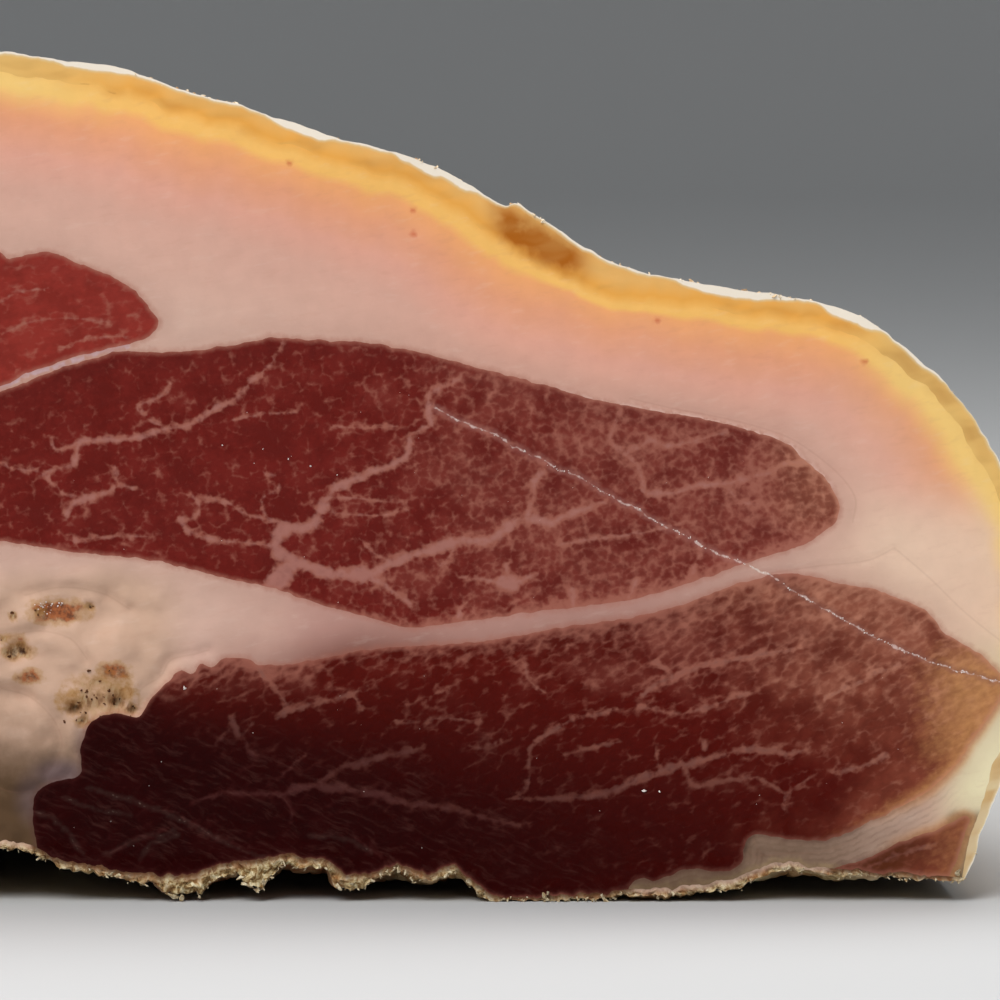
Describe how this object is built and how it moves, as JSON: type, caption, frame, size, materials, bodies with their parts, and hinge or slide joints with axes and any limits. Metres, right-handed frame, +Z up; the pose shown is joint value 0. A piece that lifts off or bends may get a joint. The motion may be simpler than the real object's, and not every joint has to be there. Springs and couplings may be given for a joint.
{
  "type": "half dry-cured ham",
  "caption": "Half of a boneless dry-cured ham lying on its flesh side: rounded rind and fat outside, and dark red muscles with white marbling on the cut face.",
  "frame": {"origin": "middle of the ham's footprint, on the surface that it lies on", "axes": "-Y out of the cut face, +Y towards the rounded butt end, +X to the right on the cut face, +Z up through the crown"},
  "size_m": [0.2315, 0.15, 0.1115],
  "materials": {
    "fat": "pink-white fat, amber rind and pale dried lard, slightly greasy",
    "lean": "red cured meat with white marbling, moist sheen",
    "lean_dark": "dark red cured meat, brown towards its edges, moist sheen"
  },
  "bodies": {
    "root": {"fat_and_rind": "fat", "lean_top": "lean", "lean_middle": "lean", "lean_lower": "lean_dark", "lean_corner": "lean_dark", "lean_far": "lean"}
  },
  "joints": []
}
